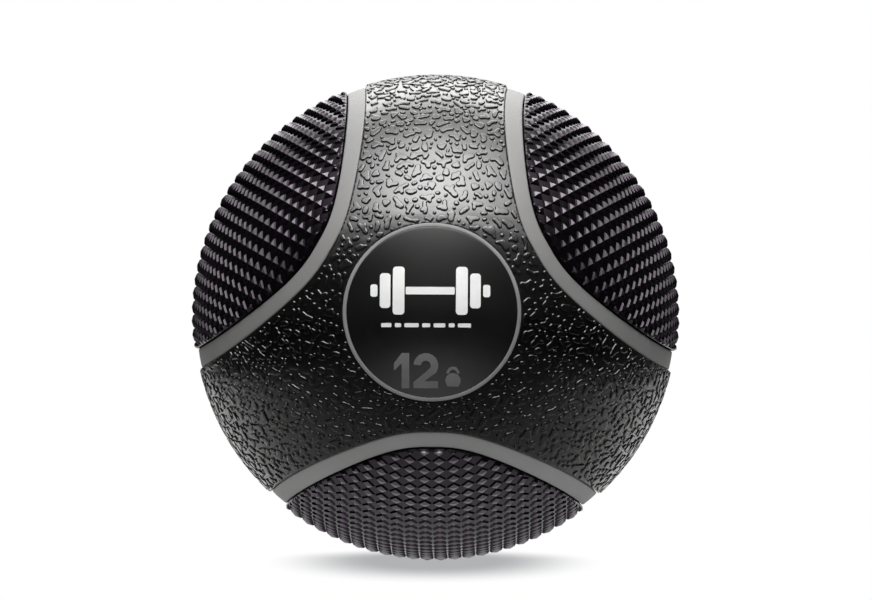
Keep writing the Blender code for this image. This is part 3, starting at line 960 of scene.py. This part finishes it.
class Material(Shader):
    def __init__(self, name):
        self.name = name
        self.material = bpy.data.materials.new(name)
        self.material.use_nodes = True
        super().__init__(self.material.node_tree)
        self.coord = self.node("TexCoord").outputs["Object"]

    def noise(self, scale, detail=3.0, rough=0.5):
        inputs = {"Vector": self.coord, "Scale": scale, "Detail": detail, "Roughness": rough}
        return self.node("TexNoise", inputs).outputs["Fac"]

    def specks(self, scale, size):
        cells = self.node("TexVoronoi", {"Vector": self.coord, "Scale": scale})
        return self.ramp(cells.outputs["Distance"], span=(0.0, size), to=(1.0, 0.0))

    def radius(self):
        """Distance of the surface point from the ball's centre, in metres."""
        return self.node("VectorMath", {0: self.coord}, operation="LENGTH").outputs["Value"]

    def invert(self, value):
        return self.math("SUBTRACT", 1.0, value)

    def bump(self, height, strength, normal=None):
        inputs = {"Height": height, "Distance": BUMP_DISTANCE, "Strength": strength}
        if normal is not None:
            inputs["Normal"] = normal
        return self.node("Bump", inputs).outputs["Normal"]

    def finish(self, color, roughness, normal, specular=0.5, tint=None):
        inputs = {"Base Color": color, "Roughness": roughness, "Specular IOR Level": specular,
                  "Normal": normal}
        if tint is not None:
            inputs["Specular Tint"] = tint
        for key, value in inputs.items():
            self.put(self.tree.nodes["Principled BSDF"].inputs[key], value)
        MATERIALS[self.name] = self.material

    def finish_fine(self, color, fine, roughness, pit, specular=0.5):
        """Finish with one fine noise driving both the roughness range and the pitting."""
        self.finish(color, self.ramp(fine, to=roughness), self.bump(fine, pit), specular)


def grey(value, warm=0.0):
    return (value * (1 + warm), value, value * (1 - warm), 1.0)


def moulded_rubber(name, tones, roughness, heights, pit=0.03, specular=0.5, hollow=1.0, tint=None):
    """Moulded rubber: cloudy colour, dust in the hollows, paler rubbed heights and a fine open skin.
    heights are the radii of hollows and tops; hollow is the share of specular left in the hollows."""
    mat = Material(name)
    cloud = mat.noise(scale=22.0, detail=4.0, rough=0.6)
    fine = mat.noise(scale=900.0, rough=0.6)
    height = mat.ramp(mat.radius(), span=heights)
    tone = mat.mix(mat.ramp(cloud), *tones)
    patches = mat.ramp(mat.noise(scale=60.0), span=(0.35, 0.75), to=(0.1, 0.8))
    paler = tuple(channel * 1.6 for channel in tones[1][:3]) + (1.0,)
    color = mat.mix(mat.math("MULTIPLY", height, patches), tone, over=paler)
    dust = mat.ramp(mat.noise(scale=140.0, detail=4.0, rough=0.7), span=(0.55, 0.78))
    dust = mat.math("MULTIPLY", dust, mat.invert(height))
    color = mat.mix(mat.scale(dust, by=0.10), color, over=(0.060, 0.058, 0.056, 1))
    specks = mat.specks(scale=620.0, size=0.10)
    color = mat.mix(mat.scale(specks, by=0.05), color, over=(0.10, 0.098, 0.094, 1))
    uneven = mat.math("ADD", mat.scale(cloud, by=0.6), mat.scale(fine, by=0.4))
    rough = mat.ramp(uneven, span=(0.35, 0.65), to=roughness)
    rough = mat.math("ADD", rough, mat.scale(mat.invert(height), by=0.03))
    normal = mat.bump(fine, pit)
    normal = mat.bump(mat.noise(scale=2600.0, detail=2.0), pit * 0.5, normal)
    if hollow != 1.0:  # the hollows are duller than the tops that get rubbed
        specular = mat.ramp(height, span=(0.44, 0.60), to=(specular * hollow, specular))
    mat.finish(color, rough, normal, specular, tint)


def band_rubber():
    """Grey rubber, speckled and soiled, with painted shade darkening the edges of the bands where they
    drop into the seams.
    """
    mat = Material("grey_rubber")
    cloud = mat.noise(scale=30.0, detail=4.0, rough=0.6)
    fine = mat.noise(scale=1100.0, rough=0.65)
    tone = mat.mix(mat.ramp(cloud), grey(0.150, warm=0.01), grey(0.172, warm=0.005))
    specks = mat.specks(scale=800.0, size=0.16)
    tone = mat.mix(mat.scale(specks, by=0.25), tone, over=grey(0.09))
    soil = mat.noise(scale=170.0, detail=5.0, rough=0.7)
    tone = mat.mix(mat.ramp(soil, span=(0.58, 0.8), to=(0.0, 0.22)), tone, over=grey(0.10))
    # painted shade: the band's colour goes dark towards its lowered edges, where they drop into the
    # seams
    edge = mat.ramp(mat.radius(), span=(R_BAND - 0.00045, R_BAND - 0.00012))
    tone = mat.mix(mat.scale(mat.invert(edge), by=0.75), tone, over=grey(0.035))
    rough = mat.ramp(cloud, to=(0.54, 0.62))
    mat.finish(tone, rough, mat.bump(fine, strength=0.05), specular=0.42)


def ring_rubber():
    mat = Material("ring_grey")
    fine = mat.noise(scale=1300.0, rough=0.6)
    cloud = mat.noise(scale=90.0, detail=4.0, rough=0.6)
    tone = mat.mix(mat.ramp(cloud), grey(0.170), grey(0.210))
    soil = mat.noise(scale=420.0, detail=4.0, rough=0.7)
    tone = mat.mix(mat.ramp(soil, span=(0.6, 0.8), to=(0.0, 0.35)), tone, over=grey(0.12))
    mat.finish_fine(tone, fine, roughness=(0.55, 0.65), pit=0.05, specular=0.3)


def print_ink(name, low, high):
    """Ink of grey value low to high, worn in small patches."""
    mat = Material(name)
    fine = mat.noise(scale=1500.0, rough=0.6)
    cloud = mat.noise(scale=120.0, detail=4.0, rough=0.6)
    tone = mat.mix(mat.ramp(cloud), grey(low), grey(high))
    worn = mat.noise(scale=520.0, detail=5.0, rough=0.75)
    worn = mat.ramp(worn, span=(0.70, 0.82), to=(0.0, 0.5))
    tone = mat.mix(worn, tone, over=grey(low * 0.45))
    mat.finish_fine(tone, fine, roughness=(0.36, 0.5), pit=0.03)


def carcass_rubber():
    """Dark rubber with faint wavy rings."""
    mat = Material("carcass_rubber")
    rings = {"Vector": mat.coord, "Scale": 190.0, "Distortion": 2.5, "Detail": 2.0}
    wind = mat.node("TexWave", rings, wave_type="RINGS", rings_direction="SPHERICAL").outputs["Fac"]
    fine = mat.noise(scale=500.0, detail=4.0, rough=0.65)
    cloud = mat.noise(scale=35.0, detail=4.0, rough=0.6)
    tone = mat.mix(mat.ramp(cloud), grey(0.018, warm=0.03), grey(0.032, warm=0.04))
    tone = mat.mix(mat.scale(wind, by=0.2), tone, over=grey(0.05, warm=0.05))
    rough = mat.ramp(fine, to=(0.6, 0.78))
    relief = mat.math("ADD", fine, mat.scale(wind, by=0.4))
    mat.finish(tone, rough, mat.bump(relief, strength=0.2))


def bladder_butyl():
    """Dark rubber with chalky patches."""
    mat = Material("butyl")
    fine = mat.noise(scale=350.0, detail=4.0, rough=0.6)
    cloud = mat.noise(scale=25.0, detail=4.0, rough=0.6)
    tone = mat.mix(mat.ramp(cloud), grey(0.022), grey(0.034, warm=0.02))
    chalk = mat.noise(scale=80.0, detail=5.0, rough=0.7)
    chalk = mat.ramp(chalk, span=(0.55, 0.8), to=(0.0, 0.4))
    tone = mat.mix(chalk, tone, over=grey(0.22))
    mat.finish_fine(tone, fine, roughness=(0.42, 0.62), pit=0.12)


def plain_rubber(name, fine_scale, cloud_scale, tones, roughness, pit):
    mat = Material(name)
    fine = mat.noise(scale=fine_scale, rough=0.6)
    tone = mat.mix(mat.ramp(mat.noise(scale=cloud_scale)), *tones)
    mat.finish_fine(tone, fine, roughness, pit)


moulded_rubber("pebble_rubber", tones=(grey(0.0014), grey(0.0026)), roughness=(0.16, 0.22),
               heights=(R_CREST - GRAIN, R_CREST), specular=0.8)
moulded_rubber("stud_rubber", tones=((0.0012, 0.0008, 0.0014, 1), (0.0022, 0.0014, 0.0025, 1)),
               roughness=(0.10, 0.15), heights=(R_TIP - STUD_H, R_TIP), specular=0.66, hollow=0.30,
               tint=(0.97, 0.83, 1.0, 1))
moulded_rubber("badge_rubber", tones=(grey(0.0036), grey(0.0050)), roughness=(0.16, 0.22),
               heights=(R_BADGE - 0.001, R_BADGE + 0.001), pit=0.012)
band_rubber()
ring_rubber()
print_ink("print_white", low=0.74, high=0.82)
print_ink("print_grey", low=0.15, high=0.185)
carcass_rubber()
bladder_butyl()
plain_rubber("valve_rubber", fine_scale=1200.0, cloud_scale=200.0, tones=(grey(0.02), grey(0.034)),
             roughness=(0.4, 0.55), pit=0.05)
plain_rubber("core_rubber", fine_scale=1800.0, cloud_scale=400.0,
             tones=((0.105, 0.082, 0.054, 1), (0.160, 0.130, 0.090, 1)),
             roughness=(0.45, 0.6), pit=0.06)


# ---------------------------------------------------------------- the ball
def wear(obj, slot, material=None):
    """Give a piece its material: the one named like its slot, unless another is named."""
    obj.data.materials.clear()
    obj.data.materials.append(MATERIALS[material or slot])


def place(obj, slot, *nodes, material=None):
    wear(obj, slot, material)
    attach(obj, "root")
    if nodes:
        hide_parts(*nodes)


grid, grid_tris = ico_grid(220)
centres, radii = pack_pebbles()
for name, side in (("front_cover", FRONT), ("back_cover", BACK)):
    cover = pebble_cover(name + "_surface", side, grid, grid_tris, centres, radii)
    place(cover, "pebble_rubber", name)
for key, azimuth in PANELS.items():
    panel, band = f"grip_panel_{key}", f"trim_band_{key}"
    place(stud_panel(panel + "_surface", azimuth), "stud_rubber", panel)
    place(trim_band(band + "_surface", azimuth), "grey_rubber", band)
for key, side, hole in (("front", FRONT, 0.0), ("back", BACK, VALVE_HOLE)):
    ring, disc = f"{key}_badge_ring", f"{key}_badge_disc"
    place(badge_ring(ring + "_surface", side), "ring_grey", ring)
    place(badge_disc(disc + "_surface", side, hole), "badge_rubber", disc)

# plain pictogram, rule and weight numeral printed on the front badge
NUMERAL = {"y": -34.0, "height": 15.6}
MARKS = {
    "front_pictogram": ("print_white", dumbbell(x=-0.7, y=9.4, scale=1.05)),
    "front_rule": ("print_white", dashed_rule(x=-22.5, y0=-6.9, y1=-5.1, gap=1.5,
                                              lengths=(4.6, 2.8, 6.4, 3.6, 5.2, 2.6, 5.8))),
    "front_numeral": ("print_grey", [numeral_one(x=-16.8, width=6.9, stroke=3.4, **NUMERAL),
                                     numeral_two(x=-8.0, width=11.0, stroke=3.3, **NUMERAL)]),
    "front_weight_mark": ("print_grey", kettle(x=9.6, y=-30.6)),
}
for name, (ink, outlines) in MARKS.items():
    place(print_mark(name, outlines), "badge_rubber", material=ink)

INNER_SLOTS = {
    "carcass_front_half": "carcass_rubber",
    "carcass_back_half": "carcass_rubber",
    "bladder": "butyl",
    "valve_housing": "valve_rubber",
    "valve_core": "core_rubber",
}
for node, slot in INNER_SLOTS.items():
    wear(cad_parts[node], slot)


# ---------------------------------------------------------------- floor, light and camera
class Stage(Shader):
    """Short hand for the node trees of the stage, built from nothing."""

    def __init__(self, tree):
        super().__init__(tree)
        tree.nodes.clear()

    def math(self, operation, first, second=0.0, third=0.0):
        return super().math(operation, first, second, third)

    def fade(self, value, span, to=(0.0, 1.0)):
        return self.ramp(value, span, to, interpolation_type="SMOOTHSTEP")

    def square(self, value):
        return self.math("POWER", value, 2.0)

    def length(self, x, y):
        return self.math("SQRT", self.math("ADD", self.square(x), self.square(y)))

    def bell(self, value, width):
        """One at zero, falling off to both sides."""
        square = self.square(self.math("DIVIDE", value, width))
        return self.math("EXPONENT", self.scale(square, by=-1.0))

    def degrees(self, value):
        return self.scale(value, by=180 / math.pi)

    def blend(self, share, start, end):
        return self.math("MULTIPLY_ADD", share, self.math("SUBTRACT", end, start), start)

    def times(self, first, *others):
        for other in others:
            first = self.math("MULTIPLY", first, other)
        return first


def under_ball(tree, x, y):
    """Darkness under the ball, as a factor; its middle lies a little behind the centre."""
    centre_y = 0.03
    away = tree.length(x, tree.math("SUBTRACT", y, centre_y))
    return tree.fade(away, span=(0.060, 0.115), to=(0.06, 1.0))


def stage_plane(name, material_name, x_span, y_span, z):
    """Level rectangle with an empty material; gives the object, its tree and its x and y."""
    (x0, x1), (y0, y1) = x_span, y_span
    mesh = bpy.data.meshes.new(name)
    mesh.from_pydata([(x0, y0, z), (x1, y0, z), (x1, y1, z), (x0, y1, z)], [], [(0, 1, 2, 3)])
    obj = link_object(name, mesh)
    material = bpy.data.materials.new(material_name)
    material.use_nodes = True
    mesh.materials.append(material)
    tree = Stage(material.node_tree)
    spot = tree.node("SeparateXYZ", {0: tree.node("TexCoord").outputs["Object"]}).outputs
    return obj, tree, spot["X"], spot["Y"]


def stage_floor():
    """A white floor. The camera sees it evenly white with a soft blue-grey contact shadow; the ball
    sees it bright underneath and behind, and dark in front."""
    obj, tree, x, y = stage_plane("floor", "floor_white", (-6, 6), (-6, 6), FLOOR_Z)
    camera_ray = tree.node("LightPath").outputs["Is Camera Ray"]
    # contact shadow: an oval that runs a little further forward than back
    half_width = 0.078
    half_depth = tree.fade(y, span=(-0.02, 0.02), to=(0.20, 0.115))
    away = tree.length(tree.math("DIVIDE", x, half_width), tree.math("DIVIDE", y, half_depth))
    shade = tree.fade(away, span=(0.35, 1.05), to=(0.56, 0.0))
    lit = tree.mix(shade, (1.0, 1.0, 1.0, 1), over=(0.0, 0.012, 0.03, 1))
    seen = tree.node("Emission", {"Color": lit, "Strength": 1.0})
    # glow on the ball: rises from front to back, and fades to the sides, under the ball and far off
    power, gain, least, widening = 1.9, 1.05, 0.06, 0.35
    glow = tree.math("POWER", tree.fade(y, span=(-0.30, 0.12)), power)
    glow = tree.math("MULTIPLY_ADD", glow, gain, least)
    behind = tree.math("MAXIMUM", y, 0.0)
    wide = tree.math("SUBTRACT", tree.math("ABSOLUTE", x), tree.scale(behind, by=widening))
    glow = tree.times(
        glow,
        tree.fade(wide, span=(0.19, 0.42), to=(1.0, 0.03)),
        under_ball(tree, x, y),
        tree.fade(y, span=(0.5, 1.2), to=(1.0, 0.3)),
    )
    felt = tree.node("Emission", {"Color": (1.0, 0.99, 0.985, 1), "Strength": glow})
    mix = tree.node("MixShader", {0: camera_ray, 1: felt.outputs[0], 2: seen.outputs[0]})
    tree.node("OutputMaterial", {"Surface": mix.outputs[0]})


def low_card(name, receivers, height, under=False, spread=0.13, gain=1.0):
    """Light low in front of the ball or under it, kept to the pieces named: the rest see the floor
    through it. height is over the floor, spread the width of the pool of light."""
    obj, tree, x, y = stage_plane(name, name + "_light", (-0.45, 0.45), (-0.75, 0.1),
                                  FLOOR_Z + height)
    pool = tree.times(tree.bell(x, spread), tree.fade(y, span=(-0.64, -0.2)))
    if under:
        pool = tree.times(pool, tree.fade(y, span=(-0.20, -0.09), to=(0.30, 1.0)),
                          tree.fade(y, span=(0.0, 0.09), to=(1.0, 0.3)))
    else:
        pool = tree.times(pool, tree.fade(y, span=(-0.10, 0.05), to=(0.75, 0.1)),
                          under_ball(tree, x, y))
    strength = tree.scale(pool, by=gain)
    light = tree.node("Emission", {"Color": (1.0, 1.0, 1.0, 1), "Strength": strength})
    clear = tree.node("BsdfTransparent")
    both = tree.node("AddShader", {0: clear.outputs[0], 1: light.outputs[0]})
    tree.node("OutputMaterial", {"Surface": both.outputs[0]})
    obj.visible_camera = False
    obj.visible_shadow = False
    group = bpy.data.collections.new(name + "_receivers")
    for piece in receivers:
        group.objects.link(piece)
    obj.light_linking.receiver_collection = group


# brightness along the arc: degrees from the front over the top, radiance
ARC_LIGHT = (
    (0, 0.08), (25, 0.6), (31, 1.0), (37, 1.45), (42, 1.5), (45, 2.6), (49, 9.8), (55, 11.2),
    (62, 11.5), (68, 10.8), (79, 9.3), (87, 6.8), (93, 4.7), (101, 2.7), (108, 2.1), (118, 3.0),
    (124, 4.6), (131, 6.0), (137, 4.8), (146, 3.5), (158, 1.75), (168, 1.0), (180, 0.15),
)
ARC_FULL = 12.0  # radiance at the white end of the ramp
BACK_GLOW, ROOM_GLOW = 0.3, 0.03  # radiance low behind the ball, and all round


def arc_brightness(tree, arc):
    ramp = tree.node("ValToRGB", {0: tree.math("DIVIDE", arc, 180.0)})
    ramp.color_ramp.interpolation = "LINEAR"
    stops = ramp.color_ramp.elements
    while len(stops) < len(ARC_LIGHT):
        stops.new(0.5)
    for k, (angle, _) in enumerate(ARC_LIGHT):
        stops[k].position = angle / 180.0
    for k, (_, bright) in enumerate(ARC_LIGHT):
        stops[k].color = (bright / ARC_FULL,) * 3 + (1.0,)
    return ramp.outputs["Color"]


def studio_world():
    """White all round for the camera. The ball sees softboxes in an arc over the top, counted from
    the front: a dim front, the main box high in front, a fill box high behind, white far behind and
    darkness to the sides."""
    world = bpy.data.worlds.new("studio")
    bpy.context.scene.world = world
    world.use_nodes = True
    tree = Stage(world.node_tree)
    ray = tree.node("VectorMath", {0: tree.node("TexCoord").outputs["Generated"]},
                    operation="NORMALIZE").outputs["Vector"]
    spot = tree.node("SeparateXYZ", {0: ray}).outputs
    forward = tree.scale(spot["Y"], by=-1.0)
    arc = tree.degrees(tree.math("ARCTAN2", spot["Z"], forward))
    side = tree.degrees(tree.math("ARCSINE", tree.math("ABSOLUTE", spot["X"])))
    bright = arc_brightness(tree, arc)

    # how each part of the arc falls off to the sides, in degrees
    front = tree.bell(side, width=25.0)
    main = tree.times(tree.bell(side, width=31.0), tree.fade(side, span=(56.0, 40.0)))
    behind = tree.fade(side, span=(31.0, 18.0))
    spread = tree.blend(tree.fade(arc, span=(43.0, 47.0)), front, main)
    spread = tree.blend(tree.fade(arc, span=(96.0, 108.0)), spread, behind)
    boxes = tree.times(bright, ARC_FULL, spread)
    above = tree.fade(spot["Z"], span=(0.0, 0.05))
    back = tree.times(tree.fade(spot["Y"], span=(0.75, 0.90)),
                      tree.fade(side, span=(30.0, 12.0)), BACK_GLOW)
    total = tree.math("MAXIMUM", tree.times(boxes, above), back)
    total = tree.math("ADD", total, ROOM_GLOW)
    room = tree.node("Background", {"Color": (1.0, 0.997, 0.99, 1), "Strength": total})
    white = tree.node("Background", {"Color": (1.0, 1.0, 1.0, 1), "Strength": 1.0})
    camera_ray = tree.node("LightPath").outputs["Is Camera Ray"]
    mix = tree.node("MixShader", {0: camera_ray, 1: room.outputs[0], 2: white.outputs[0]})
    tree.node("OutputWorld", {"Surface": mix.outputs[0]})


def stage_camera():
    """Long lens in front of the ball, a touch to the right and just below its centre."""
    azimuth, elevation, roll = math.radians(0.88), math.radians(-1.02), math.radians(0.3)
    distance = 1.725
    data = bpy.data.cameras.new("camera")
    data.lens = 149.5
    data.sensor_width = 36.0
    data.sensor_fit = "HORIZONTAL"
    data.shift_x = 0.000458716
    data.shift_y = 0.01880734
    data.clip_start = 0.05
    data.clip_end = 50.0
    camera = link_object("camera", data)
    camera.location = (
        distance * math.sin(azimuth) * math.cos(elevation),
        -distance * math.cos(azimuth) * math.cos(elevation),
        distance * math.sin(elevation),
    )
    aim = (-Vector(camera.location)).to_track_quat("-Z", "Y").to_matrix()
    camera.rotation_euler = (aim @ Matrix.Rotation(roll, 3, "Z")).to_euler()
    bpy.context.scene.camera = camera


def surfaces(start):
    return [obj for obj in bpy.context.scene.objects
            if obj.type == "MESH" and obj.name.startswith(start) and obj.name.endswith("_surface")]


stage_floor()
low_card("badge_card", surfaces("front_badge"), height=0.0004)
low_card("band_card", surfaces("trim_band"), height=0.0005, spread=0.24, gain=1.35)
low_card("under_card", surfaces("grip_panel_bottom"), height=0.0006, under=True, gain=1.12)
studio_world()
stage_camera()
bpy.context.scene.view_settings.view_transform = "Standard"
bpy.context.scene.view_settings.look = "None"
